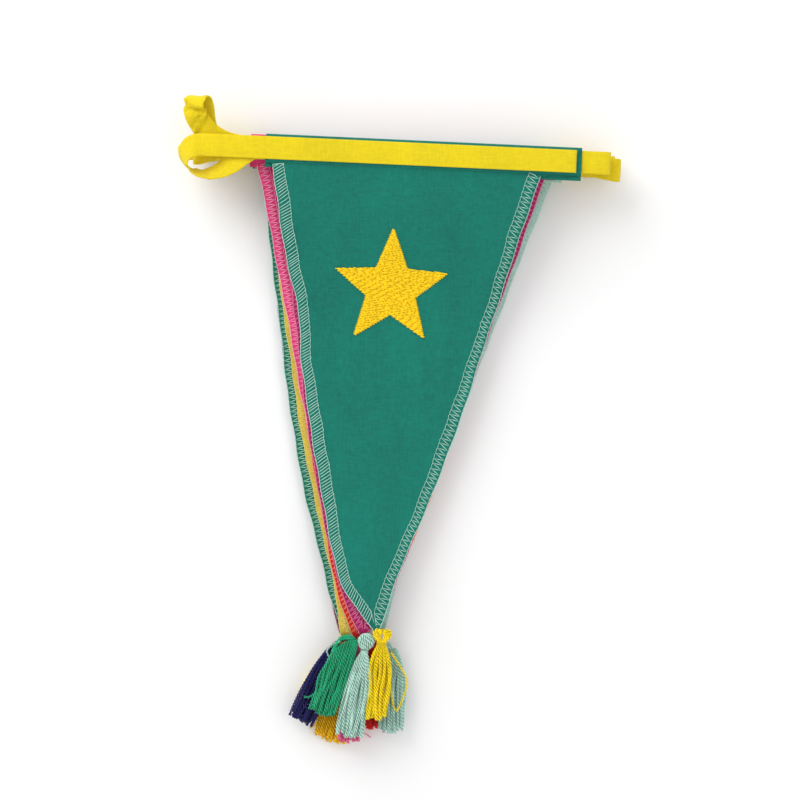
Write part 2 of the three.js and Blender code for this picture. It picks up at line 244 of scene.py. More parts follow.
world = bpy.data.worlds.new("room")
world.use_nodes = True
world.node_tree.nodes["Background"].inputs[0].default_value = (1, 1, 1, 1)
world.node_tree.nodes["Background"].inputs[1].default_value = ROOM_LIGHT
bpy.context.scene.world = world

for name, spot, width, power in LAMPS:
    lamp_data = bpy.data.lights.new(name, "AREA")
    lamp_data.shape, lamp_data.size, lamp_data.energy = "DISK", width, power
    lamp = add_object(name, lamp_data)
    lamp.location = spot
    lamp.rotation_euler = (-lamp.location).to_track_quat("-Z", "Y").to_euler()

floor_paint = bpy.data.materials.new("floor_paint")
floor_paint.use_nodes = True
floor_shader = floor_paint.node_tree.nodes["Principled BSDF"]
floor_shader.inputs["Base Color"].default_value = (0.93, 0.93, 0.93, 1)
floor_shader.inputs["Roughness"].default_value = 0.9
floor_shader.inputs["Specular IOR Level"].default_value = 0.1
floor_mesh = bpy.data.meshes.new("floor")
floor_mesh.from_pydata([(-3, -3, 0), (3, -3, 0), (3, 3, 0), (-3, 3, 0)], [], [(0, 1, 2, 3)])
floor_mesh.materials.append(floor_paint)
floor = add_object("floor", floor_mesh)
print("lamps", [name for name, *_ in LAMPS])

# %% [markdown]
# ## Shared effects
# Three effects come back on many pieces, so each is a node group with named sockets: a plain weave, the
# uneven dye of cheap cotton, and the fuzz of spun thread with painted shade and highlight on its plies.
# The shaders stay in each material.

# %% Node group tools


def new_group(name, inputs, outputs):
    group = bpy.data.node_groups.new(name, "ShaderNodeTree")
    for label, kind, value in inputs:
        socket = group.interface.new_socket(label, in_out="INPUT", socket_type=kind)
        socket.default_value = value
    for label, kind in outputs:
        group.interface.new_socket(label, in_out="OUTPUT", socket_type=kind)
    return group, group.nodes.new("NodeGroupInput"), group.nodes.new("NodeGroupOutput")


def calc(tree, operation, *values):
    """A Math node on sockets or numbers, and its result."""
    node = tree.nodes.new("ShaderNodeMath")
    node.operation = operation
    for socket, value in zip(node.inputs, values):
        if isinstance(value, (int, float)):
            socket.default_value = value
        else:
            tree.links.new(value, socket)
    return node.outputs[0]


def noise(tree, scale, detail=3.0, stretch=(1, 1, 1)):
    """Noise in the object's metres, drawn out by stretch."""
    coordinates = tree.nodes.new("ShaderNodeTexCoord").outputs["Object"]
    mapping = tree.nodes.new("ShaderNodeMapping")
    mapping.inputs["Scale"].default_value = stretch
    tree.links.new(coordinates, mapping.inputs["Vector"])
    texture = tree.nodes.new("ShaderNodeTexNoise")
    texture.inputs["Scale"].default_value = scale
    texture.inputs["Detail"].default_value = detail
    tree.links.new(mapping.outputs["Vector"], texture.inputs["Vector"])
    return texture.outputs["Fac"]


def shade(tree, colour, amount):
    """The colour made lighter or darker by a factor."""
    node = tree.nodes.new("ShaderNodeVectorMath")
    node.operation = "SCALE"
    tree.links.new(colour, node.inputs[0])
    tree.links.new(amount, node.inputs["Scale"])
    return node.outputs[0]


print("node groups so far", len(bpy.data.node_groups))


# %% Plain weave
weave, weave_in, weave_out = new_group(
    "plain weave",
    [("Threads per Metre", "NodeSocketFloat", 2200.0), ("Creases", "NodeSocketFloat", 3.0)],
    [("Height", "NodeSocketFloat")],
)
do = partial(calc, weave)
split = weave.nodes.new("ShaderNodeSeparateXYZ")
weave.links.new(weave.nodes.new("ShaderNodeTexCoord").outputs["Object"], split.inputs[0])
warp_at, weft_at = (do("MULTIPLY", split.outputs[axis], weave_in.outputs[0]) for axis in (0, 1))
warp, weft = (do("ABSOLUTE", do("SINE", do("MULTIPLY", at, math.pi))) for at in (warp_at, weft_at))
over = do("PINGPONG", do("ADD", do("FLOOR", warp_at), do("FLOOR", weft_at)), 1.0)
under = do("SUBTRACT", 1.0, over)
height = do("ADD", do("MULTIPLY", warp, over), do("MULTIPLY", weft, under))
creases = do("ADD", noise(weave, 230, 2, (1, 0.3, 1)), noise(weave, 120, 2, (0.5, 1, 1)))
height = do("ADD", height, do("MULTIPLY", creases, weave_in.outputs["Creases"]))
weave.links.new(height, weave_out.inputs[0])
print("weave nodes", len(weave.nodes))

# %% Uneven dye
dye, dye_in, dye_out = new_group(
    "uneven dye",
    [("Colour", "NodeSocketColor", (1, 1, 1, 1)), ("Amount", "NodeSocketFloat", 0.2)],
    [("Colour", "NodeSocketColor"), ("Roughness", "NodeSocketFloat")],
)
do = partial(calc, dye)
patches = do("MULTIPLY", do("SUBTRACT", noise(dye, 60, 3, (1, 0.45, 1)), 0.5), 0.6)
flecks = do("SUBTRACT", noise(dye, 1100, 2, (1, 0.25, 1)), 0.5)
slubs = do("SUBTRACT", noise(dye, 1100, 2, (0.25, 1, 1)), 0.5)
unevenness = do("ADD", patches, do("MULTIPLY", do("ADD", flecks, slubs), 0.6))
factor = do("ADD", 1.0, do("MULTIPLY", unevenness, dye_in.outputs["Amount"]))
dye.links.new(shade(dye, dye_in.outputs["Colour"], factor), dye_out.inputs["Colour"])
dye.links.new(do("ADD", 0.82, do("MULTIPLY", patches, 0.3)), dye_out.inputs["Roughness"])
print("dye nodes", len(dye.nodes))

# %% Spun fuzz and painted ply shade
fuzz, fuzz_in, fuzz_out = new_group(
    "spun fuzz and ply shade",
    [("Colour", "NodeSocketColor", (1, 1, 1, 1)), ("Amount", "NodeSocketFloat", 0.4),
     ("Ply Shade", "NodeSocketFloat", PLY_SHADE_NEUTRAL), ("Depth", "NodeSocketFloat", 0.0)],
    [("Colour", "NodeSocketColor"), ("Roughness", "NodeSocketFloat"), ("Height", "NodeSocketFloat")],
)
do = partial(calc, fuzz)
fibres = noise(fuzz, 2600, 3)
lots = do("SUBTRACT", noise(fuzz, 350, 2), 0.5)
spread = do("ADD", lots, do("SUBTRACT", fibres, 0.5))
factor = do("ADD", 1.0, do("MULTIPLY", spread, fuzz_in.outputs["Amount"]))
# Painted shade in the grooves between plies and painted highlight on their tops, from the ply mask
ply_shade_factor = do("SUBTRACT", fuzz_in.outputs["Ply Shade"], PLY_SHADE_NEUTRAL)
ply_shade_factor = do("ADD", 1.0, do("MULTIPLY", ply_shade_factor, fuzz_in.outputs["Depth"]))
factor = do("MULTIPLY", factor, ply_shade_factor)
fuzz.links.new(shade(fuzz, fuzz_in.outputs["Colour"], factor), fuzz_out.inputs["Colour"])
fuzz.links.new(do("ADD", 0.6, do("MULTIPLY", fibres, 0.3)), fuzz_out.inputs["Roughness"])
fuzz.links.new(fibres, fuzz_out.inputs["Height"])
print("fuzz nodes", len(fuzz.nodes))

# %% [markdown]
# ## The finishes
# All is cotton, so the finishes differ in colour, in relief and in how much the loose fibres catch the
# light, which the sheen of the Principled shader stands for. Colours are given as seen on a screen. The
# dark lines between the plies of a yarn are painted shade and the light tops of the plies are painted
# highlight: both come from a mask that its mesh carries, not from a picture.

# %% Finishes of cloth and thread


def screen(red, green, blue):
    """A colour as a screen shows it, 0 to 255, to the linear one that a shader wants."""
    values = [c / 255 for c in (red, green, blue)]
    return (*[c / 12.92 if c <= 0.04045 else ((c + 0.055) / 1.055) ** 2.4 for c in values], 1)


def finish(name, colour, effects, sheen, gloss, relief_mm):
    """A material whose colour, roughness and relief come from groups: (group, {input: value})."""
    material = bpy.data.materials.new(name)
    material.use_nodes = True
    tree = material.node_tree
    shader = tree.nodes["Principled BSDF"]
    shader.inputs["Sheen Weight"].default_value = sheen
    shader.inputs["Sheen Roughness"].default_value = 0.5
    shader.inputs["Specular IOR Level"].default_value = gloss
    bump = tree.nodes.new("ShaderNodeBump")
    bump.inputs["Strength"].default_value = 0.6
    bump.inputs["Distance"].default_value = relief_mm / 1000
    tree.links.new(bump.outputs["Normal"], shader.inputs["Normal"])
    for group, values in effects:
        node = tree.nodes.new("ShaderNodeGroup")
        node.node_tree = group
        for label, value in values.items():
            node.inputs[label].default_value = value
        if "Colour" in node.inputs:
            node.inputs["Colour"].default_value = colour
            tree.links.new(node.outputs["Colour"], shader.inputs["Base Color"])
            tree.links.new(node.outputs["Roughness"], shader.inputs["Roughness"])
        if "Height" in node.outputs:
            tree.links.new(node.outputs["Height"], bump.inputs["Height"])
        # The mesh's ply mask, which paints shade between the plies and highlight on them
        if "Ply Shade" in node.inputs:
            mask = tree.nodes.new("ShaderNodeAttribute")
            mask.attribute_name = "raised"
            tree.links.new(mask.outputs["Fac"], node.inputs["Ply Shade"])
    return material


def cotton(name, colour, amount=0.7, creases=2.2):
    effects = [(dye, {"Amount": amount}), (weave, {"Threads per Metre": 2200.0, "Creases": creases})]
    return finish(name, screen(*colour), effects, sheen=0.08, gloss=0.2, relief_mm=0.12)


# The last argument sets how strongly the ply mask paints shade and highlight: 0 leaves the colour plain
def spun(name, colour, amount=0.4, sheen=0.12, gloss=0.25, ply_shade_depth=0.0):
    effects = [(fuzz, {"Amount": amount, "Depth": ply_shade_depth})]
    return finish(name, screen(*colour), effects, sheen, gloss, relief_mm=0.1)


print("a mid grey for the shader", round(screen(128, 128, 128)[0], 3))

# %% [markdown]
# ## The pennants
# Each pennant is one cut of thin cotton. Its top edge is turned back and sewn down, which leaves a sleeve
# for the tape; from there the cloth falls to the pile and lies flat to its tip. It could be a plane with
# a cloth simulation, but every layer has to keep off the next one, so the sheet is drawn row by row along
# its own course: round the sleeve, down the front, to the tip. The heights follow the solids.

# %% Where the layers lie
LAYERS = 9
SLEEVE_THICK = 2.6
HEM_PITCH = 2.9
CLOTH_PITCH = 1.32
FLAT_FROM, HEM_BELOW = 80, 5.9
TIP_LIFT, LIFT_FROM, LIFT_TO = 3.3, 150, 200
CUT_LENGTH = 211
CUT_DOWN = [0, 48, 130, 190, 205, 211]
CUT_HALF = [60.5, 49.2, 29.9, 11.7, 4.4, 0.9]
FRONT_NIP = {"deep": 2.1, "down": 73, "reach": 15}
MIDDLE_AT = [0, 0.616, 0.9, 1]
EDGE_CURL = 0.8
BOTTOM_SETTLE = 0.25

# Name, where its middle lies at hem, waist, ankle and tip, length, cloth colour, overlock colour
PENNANTS = [
    ("teal", (3.3, -2.4, -5.6, -0.9), 211, (17, 119, 103), (184, 228, 212)),
    ("magenta", (6, -3.6, -6.3, -6.8), 213.3, (166, 26, 92), (240, 130, 176)),
    ("pink", (-3.6, -3.6, -6.0, -4.6), 211, (226, 60, 124), (255, 178, 208)),
    ("red", (1, -3.6, -7.5, -9.6), 215.2, (220, 36, 28), (255, 172, 142)),
    ("yellow", (-1.5, -6.6, -8.6, -15.3), 214.6, (217, 190, 70), (240, 224, 132)),
    ("green", (-2.4, -10.4, -11.8, -14.2), 213.5, (22, 112, 84), (176, 226, 208)),
    ("mint", (10, -2.7, -4.4, 2.0), 210, (172, 220, 206), (226, 240, 234)),
    ("navy", (-1.2, -10.3, -4.6, 1.2), 210, (24, 22, 84), (206, 206, 226)),
    ("plum", (0, -8, -11, -16.0), 214, (110, 20, 50), (196, 110, 140)),
]


def hem_height(layer):
    return SLEEVE_THICK / 2 + HEM_PITCH * (LAYERS - 1 - layer)


def lying_height(layer, down):
    """The layer's middle plane, before wrinkles."""
    flat = 0.5 + CLOTH_PITCH * (LAYERS - 1 - layer)
    settle = BOTTOM_SETTLE * ease(down, HEM_BELOW, 30) * (layer == LAYERS - 1)
    fallen = mix(hem_height(layer), flat, ease(down, HEM_BELOW, FLAT_FROM))
    return fallen + TIP_LIFT * ease(down, LIFT_FROM, LIFT_TO) - settle


def edges_at(layer, down):
    """The left and right edge at a distance below the hem's middle line."""
    _, middles, length, *_ = PENNANTS[layer]
    share = np.asarray(down, float) / length
    half = smooth_at(CUT_DOWN, CUT_HALF, share * CUT_LENGTH)
    middle = smooth_at(MIDDLE_AT, middles, share)
    nip = FRONT_NIP["deep"] * np.exp(-((down - FRONT_NIP["down"]) / FRONT_NIP["reach"]) ** 2) * (layer == 0)
    wave = 0.22 * np.sin(down / 3.1 + layer) + 0.18 * np.sin(down / 7.7 + 2 * layer)
    wave = wave * ease(half, 2, 8)
    return middle - half + nip + wave, middle + half + 0.8 * wave


print("front hem lies", hem_height(0), "mm up, its tip", round(float(lying_height(0, 211)), 1))

# %% [markdown]
# Pressed cotton is never quite flat. Slow waves run through the whole pile, so all layers share them, and
# the front cloth puckers where the motif is sewn on. The waves fade out at the hem and at the tip.

# %% Wrinkles
CLOTH_THIN = 0.45
STAR = {"x": -1.3, "down": 59.2, "outer": 26.0, "inner": 11.2}


def wrinkles(layer, x, down):
    fade = ease(down, 8, 40) * (1 - ease(down, 170, 205))
    slow = 0.5 * np.sin(x / 9 + 0.8 * np.sin(down / 27)) * np.sin(down / 33 + 0.7)
    slow = slow + 0.3 * np.sin((x + 0.5 * down) / 11 + 1.1) + 0.16 * np.sin((x - 0.8 * down) / 6.5)
    if layer:
        return fade * slow
    below = np.exp(-((down - STAR["down"] - 34) / 15.0) ** 2)
    around = np.exp(-(((x - STAR["x"]) / 34.0) ** 2 + ((down - STAR["down"]) / 30.0) ** 2))
    pucker = below * np.sin(x / 1.7 + 0.9 * np.sin(down / 9)) + 0.6 * around * np.sin((x - 0.6 * down) / 2.3)
    return fade * (slow + 0.2 * pucker)


def cloth_level(layer, x, down):
    """The middle of the cloth's thickness at any point of a layer."""
    level = lying_height(layer, down) + wrinkles(layer, x, down) * (1 - 0.8 * layer / (LAYERS - 1))
    level = np.maximum(level, CLOTH_THIN / 2 + 0.3 * (LAYERS - 1 - layer))
    if layer == 0:
        left, right = edges_at(layer, down)
        across = np.clip(2 * (x - left) / (right - left) - 1, -1, 1)
        level = level + EDGE_CURL * np.abs(across) ** 6
    return level


print("wrinkles at the star", np.round(wrinkles(0, np.linspace(-20, 20, 5), 90.0), 2))

# %% The sheet of one pennant
SLEEVE_OVERHANG = 2
FRONT_SLEEVE_RIGHT = 80
# The sleeve's course from its raw edge behind, over the top, to the seam in front: how far up the page, and
# how far off the hem's middle plane
SLEEVE_COURSE = [
    (-8.3, -0.42), (-7.4, -0.34), (-6.4, -0.40), (-5.6, -0.83), (-4.2, -0.99), (-1, -1.02), (2.4, -1.02),
    (4.9, -0.99), (5.7, -0.76), (6.05, -0.3), (6.05, 0.3), (5.7, 0.76), (4.9, 0.99), (2.4, 1.02), (-1, 1.02),
    (-4.2, 0.99), (-5.6, 0.83), (-6.4, 0.34),
]


def seam_lift(down):
    """How far the cloth just below the seam stands up from its layer."""
    return 0.30 * (1 - ease(down, 7, 22))


def sheet_grid(layer, columns, row_gap):
    """Points of the cloth's middle surface, row by row along the sheet."""
    length = PENNANTS[layer][2]
    left, right = edges_at(layer, 0)
    low = left - SLEEVE_OVERHANG
    high = FRONT_SLEEVE_RIGHT if layer == 0 else right + SLEEVE_OVERHANG
    share = np.linspace(0, 1, columns + 1)
    hem = lying_height(layer, 0)
    rows = []
    for up, off in SLEEVE_COURSE:
        x = mix(low, high, share)
        ripple = 0.05 * np.sin(x / 2.6 + layer) * (abs(off) > 0.9)
        rows.append(np.column_stack([x, np.full_like(x, up), hem + off + ripple * np.sign(off)]))
    downs = np.linspace(13, length, int((length - 13) / row_gap) + 1)
    downs = np.concatenate([[6.9, 7.6, 9, 11], downs])
    for down in downs:
        near, far = edges_at(layer, down)
        x = mix(near, far, share)
        level = cloth_level(layer, x, down) + seam_lift(down)
        rows.append(np.column_stack([x, np.full_like(x, -down), level]))
    return np.array(rows)


print("points in the front sheet", sheet_grid(0, 72, 1.6).shape[:2])

# %% Cloth with a thickness


def thicken(grid, thickness):
    """A closed mesh around a middle surface."""
    normal = unit(np.cross(np.gradient(grid, axis=0), np.gradient(grid, axis=1)))
    n, m = grid.shape[:2]
    points = np.concatenate([(grid + side * normal * thickness / 2).reshape(-1, 3) for side in (1, -1)])
    i = np.arange(n * m).reshape(n, m)
    a, b, c, d = i[:-1, :-1], i[1:, :-1], i[1:, 1:], i[:-1, 1:]
    front = np.stack([a, b, c, d], axis=-1).reshape(-1, 4)
    back = front[:, ::-1] + n * m
    rim = np.concatenate([i[0, :-1], i[:-1, -1], i[-1, :0:-1], i[:0:-1, 0]])
    after = np.roll(rim, -1)
    edge = np.stack([rim, after, after + n * m, rim + n * m], axis=-1)
    return points, np.concatenate([front, back, edge]).tolist()


def flat_size(grid):
    """Width, length and area of the cloth before it was folded, in metres."""
    steps = np.linalg.norm(np.diff(grid, axis=0), axis=2).mean(axis=1)
    widths = np.linalg.norm(np.diff(grid, axis=1), axis=2).sum(axis=1)
    area = float((steps * (widths[1:] + widths[:-1]) / 2).sum())
    return float(widths.max()) / 1000, float(steps.sum()) / 1000, area / 1e6


cloths = []
for layer, (name, *_, colour, _) in enumerate(PENNANTS):
    grid = sheet_grid(layer, 72 if layer == 0 else 30, 1.6 if layer == 0 else 3.2)
    points, faces = thicken(grid, CLOTH_THIN)
    width, length, area = flat_size(grid)
    node, slot = f"pennant_{layer + 1}_{name}", f"{name}_cotton"
    cloth = make_piece(f"cloth_{name}", points, faces, cotton(slot, colour), [node])
    cloths.append((cloth, (width, length), area))
    print(node, "flat", round(width, 4), "x", round(length, 4), "m, area", round(area, 5))

# %% [markdown]
# ## The overlock
# A raw cotton edge frays, so each pennant is overlocked: one thread zigzags over the edge on the face and
# on the back, a second runs along the inner line, a third locks the stitches on the edge. On the front
# pennant's left edge the thread lies in rungs, like a ladder. The picture shows the threads plainly, in a
# paler shade than the cloth, so they are real threads and not a bump.

# %% Overlock stitches
BAND = 4.6  # from the raw edge to the inner line
PAST_EDGE = 0.12  # how far the thread stands out of the edge
TIP_ROOM = 0.94  # share of the half width that it may take near the tip
LOCK_WAVE = 0.12  # how far the inner thread swings to each side
RIM_STEP = 0.7  # between two points of the thread along the edge
THREAD, INNER_THREAD, RIM_THREAD = 0.2, 0.1, 0.17
# A stitch's length, how far it leans towards the hem, its thread, how uneven it is, and whether both of its
# legs lean alike, as in a ladder; then the edges that differ, by pennant and side, 0 for the left one
PLAIN_STITCH = {"long": 2.1, "slant": 0.3, "thread": THREAD, "uneven": 0.09, "ladder": False}
STITCHES = {
    ("teal", 0): {"long": 2.7, "slant": 2.4, "thread": 0.15, "uneven": 0.13, "ladder": True},
    ("teal", 1): {"long": 2.3, "slant": 0.9, "thread": 0.17, "uneven": 0.12},
    ("red", 0): {"slant": 2.4},
    ("magenta", 0): {"slant": 1.6},
}
FACE_OFF = CLOTH_THIN / 2 + 0.10  # a thread that lies on the cloth
# How far the thread is off the cloth's middle: on the inner line, halfway, and at the edge
LEVELS = np.array([FACE_OFF, FACE_OFF + 0.07, 0.10])
# The corners of one stitch: shares of its length, its slant and the band's width, and its level
ZIGZAG = [(0, -1, 1, 0), (0.25, -0.5, 0.5, 1), (0.5, 0, 0, 2), (0.75, -0.5, 0.5, 1)]
LADDER = [
    (0, -1, 1, 0), (0, -0.5, 0.5, 1), (0, 0, 0, 2), (0.5, 0, 0, 2), (0.5, -0.5, 0.5, 1), (0.5, -1, 1, 0),
]
print("edges with stitches of their own", list(STITCHES))

# %% Overlock threads


def edge_course(layer, side):
    """From the seam to the tip: points on an edge, directions inwards, distance run, half the width."""
    downs = np.linspace(7.2, PENNANTS[layer][2] - 0.4, 500)
    edges = edges_at(layer, downs)
    points = np.column_stack([edges[side], -downs])
    course = unit(np.gradient(points, axis=0))
    inward = np.column_stack([-course[:, 1], course[:, 0]]) * (1 if side == 0 else -1)
    return points, inward, run_along(points), (edges[1] - edges[0]) / 2


def overlock(layer, draw):
    heap = Heap()
    lowest = THREAD if layer == LAYERS - 1 else -1.0
    for side in (0, 1):
        points, inward, run, half = edge_course(layer, side)
        stitch = {**PLAIN_STITCH, **STITCHES.get((PENNANTS[layer][0], side), {})}
        long, uneven = stitch["long"], stitch["uneven"]
        far, back, wide, level = np.array(LADDER if stitch["ladder"] else ZIGZAG).T

        def spot(s, inset, off):
            s, inset = np.clip(s, 0, run[-1]), np.asarray(inset, float)
            inset = np.minimum(inset, np.interp(s, run, half) * TIP_ROOM)
            at = [np.interp(s, run, points[:, i]) + inset * np.interp(s, run, inward[:, i]) for i in (0, 1)]
            z = cloth_level(layer, at[0], -at[1]) + off + seam_lift(-at[1])
            return np.column_stack([at[0], at[1], np.maximum(z, lowest)])

        count = int(run[-1] / long)
        starts = (np.arange(count + 1) + draw.uniform(-uneven, uneven, count + 1)) * long
        band = BAND + 0.5 * np.sin(starts / 17 + side + layer) + draw.uniform(-0.15, 0.15, count + 1)
        s = starts[:-1, None] + far * np.diff(starts)[:, None] + back * stitch["slant"]
        inset = np.where(wide > 0, wide * band[:-1, None], -PAST_EDGE)
        off = np.tile(LEVELS[level.astype(int)], count)
        for face in (1, -1):
            heap.thread(spot(s.ravel(), inset.ravel(), face * off), stitch["thread"])
            lock = np.repeat(starts, 2)[:-1] + np.tile([0, 0.5], len(starts))[:-1] * long
            wave = np.tile([LOCK_WAVE, -LOCK_WAVE], len(starts))[:-1]
            inner = np.interp(lock, starts, band) + wave
            heap.thread(spot(lock, inner, face * (FACE_OFF + 0.05)), INNER_THREAD)
        rim = np.arange(0, run[-1], RIM_STEP)
        heap.thread(spot(rim, -0.16 + 0.12 * np.sin(rim * 2.7), 0.12 * np.sin(rim * 2.1)), RIM_THREAD)
    return heap


overlocks = []
for layer, (name, *_, colour) in enumerate(PENNANTS):
    heap = overlock(layer, np.random.default_rng(20 + layer))
    thread = spun(f"{name}_overlock_thread", colour, amount=0.25)
    overlocks.append(make_heap(f"overlock_{name}", heap, thread))
print("overlock faces", sum(len(piece.data.polygons) for piece in overlocks))

# %% [markdown]
# The hem is sewn down with a straight stitch of the cloth's own colour, just above the overlock. The
# stitches stand on both faces of the hem and go down between them, one every two and a half millimetres.

# %% Hem stitches
SEAM_UP = -6.2
SEAM_PITCH, SEAM_THREAD = 2.5, 0.14
# Where the front and the back stitches lie off the hem's middle, and how far they bend out
SEAM_FACES = ((0.62, 0.14), (-0.66, -0.14))
# One stitch: distance along it, and share of the bend
SEAM_STITCH = ((0, -1), (0.4, 0.5), (1.6, 0.5), (2.0, -1))

hem_stitches = []
for layer, (name, *_, colour, _) in enumerate(PENNANTS):
    heap = Heap()
    left, right = (float(edge) for edge in edges_at(layer, 0))
    end = FRONT_SLEEVE_RIGHT if layer == 0 else right + SLEEVE_OVERHANG
    hem = lying_height(layer, 0)
    for x in np.arange(left - 0.8, end - 2.2, SEAM_PITCH):
        for off, bend in SEAM_FACES:
            path = [(x + far, SEAM_UP, hem + off + share * bend) for far, share in SEAM_STITCH]
            heap.thread(path, SEAM_THREAD)
    seam = spun(f"{name}_hem_thread", [int(c * 0.8) for c in colour], amount=0.2)
    hem_stitches.append(make_heap(f"hem_stitch_{name}", heap, seam))
print("hem stitch pieces", len(hem_stitches))

# %% [markdown]
# ## The motif
# A plain five-pointed star is embroidered on the front pennant with fill stitch: short stitches side by
# side in rows, each row shifted against the last, so that the needle holes scatter. Every stitch is a
# small arch of thread that dips at both ends. An underlay shows in the holes between them, darker than
# the fill: its darker colour is painted shade for the holes.

# %% The star's outline
ROW_PITCH = 0.42
STITCH_LONG = 3.4
STAR_CLEAR, STAR_THREAD = 0.5, 0.235  # the rise of a stitch's arch, and its thread
STITCH_LEAN = math.radians(-7)
star_middle = np.array([STAR["x"], -STAR["down"]])
star_angle = math.pi / 2 + np.arange(10) * math.pi / 5
star_reach = np.where(np.arange(10) % 2, STAR["inner"], STAR["outer"])
star_outline = star_middle + star_reach[:, None] * np.column_stack([np.cos(star_angle), np.sin(star_angle)])


def spans_at(outline, y):
    """Where a row of stitches at height y runs inside the outline."""
    cuts = []
    for (x1, y1), (x2, y2) in zip(outline, np.roll(outline, -1, axis=0)):
        if (y1 <= y) != (y2 <= y):
            cuts.append(x1 + (y - y1) / (y2 - y1) * (x2 - x1))
    cuts.sort()
    return list(zip(cuts[::2], cuts[1::2]))


print("star is", round(float(np.ptp(star_outline[:, 0])), 1), "mm wide")

# %% Fill stitches
c, s = math.cos(STITCH_LEAN), math.sin(STITCH_LEAN)
to_rows = np.array([[c, -s], [s, c]])
turned = (star_outline - star_middle) @ to_rows
draw = np.random.default_rng(3)
fill = Heap()
stitches = 0
for row, y in enumerate(np.arange(turned[:, 1].min() + 0.2, turned[:, 1].max(), ROW_PITCH)):
    for start, stop in spans_at(turned, y):
        start -= 0.25 + 0.35 * (row % 2) + draw.uniform(-0.1, 0.1)
        stop += 0.25 + 0.35 * ((row + 1) % 2) + draw.uniform(-0.1, 0.1)
        at = start
        first = STITCH_LONG * ((row * 0.37) % 1.0)
        while at < stop - 0.3:
            long = first if at == start and first > 0.8 else STITCH_LONG
            to = min(stop, at + long + draw.uniform(-0.35, 0.35))
            if stop - to < 0.7:
                to = stop
            t = np.linspace(0, 1, 6)
            flat = np.column_stack([mix(at, to, t), np.full(6, y) + draw.uniform(-0.06, 0.06)])
            flat = flat @ to_rows.T + star_middle
            rise = np.clip(np.minimum(t, 1 - t) * (to - at) / 0.5, 0, 1) ** 0.6
            z = cloth_level(0, flat[:, 0], -flat[:, 1]) + CLOTH_THIN / 2 + 0.05 + STAR_CLEAR * rise
            z = z + draw.uniform(-0.05, 0.05)
            fill.thread(np.column_stack([flat, z]), STAR_THREAD, sides=5)
            stitches += 1
            at = to
star = make_heap("star_embroidery_stitches", fill, spun("star_fill_thread", (255, 216, 2), 0.3, 0.05, 0.4),
                 ["star_embroidery"])
print("fill stitches", stitches)

# %% Underlay of the star
UNDERLAY_THICK = 0.12
rings = np.linspace(0.05, 0.985, 14)
sides = zip(star_outline, np.roll(star_outline, -1, axis=0))
corners = np.array([mix(a, b, t) for a, b in sides for t in np.linspace(0, 1, 6)[:-1]])
points, faces = [], []
for share in rings:
    flat = star_middle + (corners - star_middle) * share
    z = cloth_level(0, flat[:, 0], -flat[:, 1]) + CLOTH_THIN / 2 + 0.16
    points.append(np.column_stack([flat, z]))
m, below = len(corners), len(corners) * len(rings)
for r in range(len(rings) - 1):
    for k in range(m):
        after = (k + 1) % m
        faces.append([r * m + k, (r + 1) * m + k, (r + 1) * m + after, r * m + after])
faces.append(list(range(m)))
faces += [[k + below for k in reversed(face)] for face in faces]
for k in range(below - m, below):
    after = k + 1 if k + 1 < below else below - m
    faces.append([k, k + below, after + below, after])
top = np.concatenate(points)
# The underlay is real thread, but its dark colour is painted shade for the needle holes between the stitches
underlay_shade_thread = spun("star_underlay_thread_and_shade", (150, 118, 10), 0.4, 0.0, 0.2)
underlay = make_piece("star_embroidery_underlay", np.concatenate([top, top - (0, 0, UNDERLAY_THICK)]), faces,
                      underlay_shade_thread, ["star_embroidery"])
print("underlay faces", len(faces))

# %% [markdown]
# ## The tape
# The tape is a strip of yellow cotton folded in two and sewn shut along one edge. It runs through all
# nine sleeves, folding back on itself at the sides, and its tail lies over the front hem. The stations
# are those of the solid; between them the path and the tape's width are smoothed, and the free parts get
# soft buckles.

# %% Stations of the tape
TAPE_WIDTH, TAPE_THIN = 10.0, 0.8
# x, y, lift over the hem, and the tape's roll about its course in degrees
OPEN_LOOP = [
    (-86, 0, 1.8, 0), (-90.5, -0.5, 2.3, 8), (-94, -2.8, 1.6, 35), (-95.2, -6.4, 0.2, 65),
    (-93.6, -9.8, -1.2, 90), (-89.8, -11.9, -1.8, 108), (-84.5, -12.2, -1.6, 118), (-79, -10.6, -0.6, 138),
    (-74, -7.2, 0.4, 163), (-69.5, -3.4, 0.3, 174), (-66, -0.9, 0, 179),
]
# x, y, lift over the hem, and the direction of the tape's width
RAISED_LOOP = [
    (-62, 0, 0, (0, 1, 0)), (-70, 0.3, 0, (0, 1, 0)), (-78, 2, 0.1, (0.25, 0.97, 0)),
    (-84.5, 5.5, 0.8, (0.6, 0.8, 0)), (-88.8, 10, 2.2, (0.9, 0.4, 0.12)), (-91, 14, 3.6, (0.93, 0.1, 0.3)),
    (-91.8, 17.5, 4.2, (0.88, 0, 0.45)), (-91, 20.4, 3.6, (0.88, 0, 0.45)),
    (-89.6, 21.6, 1.9, (0.88, 0, 0.45)), (-88.3, 20.6, 0, (0.88, 0, 0.45)),
    (-87.4, 17.4, -1.2, (0.9, 0, 0.42)), (-87.2, 13.4, -1.8, (0.95, 0.05, 0.25)),
    (-86.6, 9.4, -2.1, (0.97, 0.2, 0.1)), (-84.5, 5.4, -2.4, (0.8, 0.6, 0)),
    (-79.5, 1.8, -2.7, (0.35, 0.94, 0)), (-74, 0.2, -2.9, (0, 1, 0)),
]
# A fold between a hem and the one below: the upper hem, the side, how far out it reaches, how far it sags
FOLDS = [
    (0, 1, 92.5, 0), (2, 1, 97.4, 2.4), (3, -1, 91, 3), (4, 1, 94, 1), (5, -1, 95, 0.6), (6, 1, 95.5, 0.4),
    (7, -1, 88, 1),
]


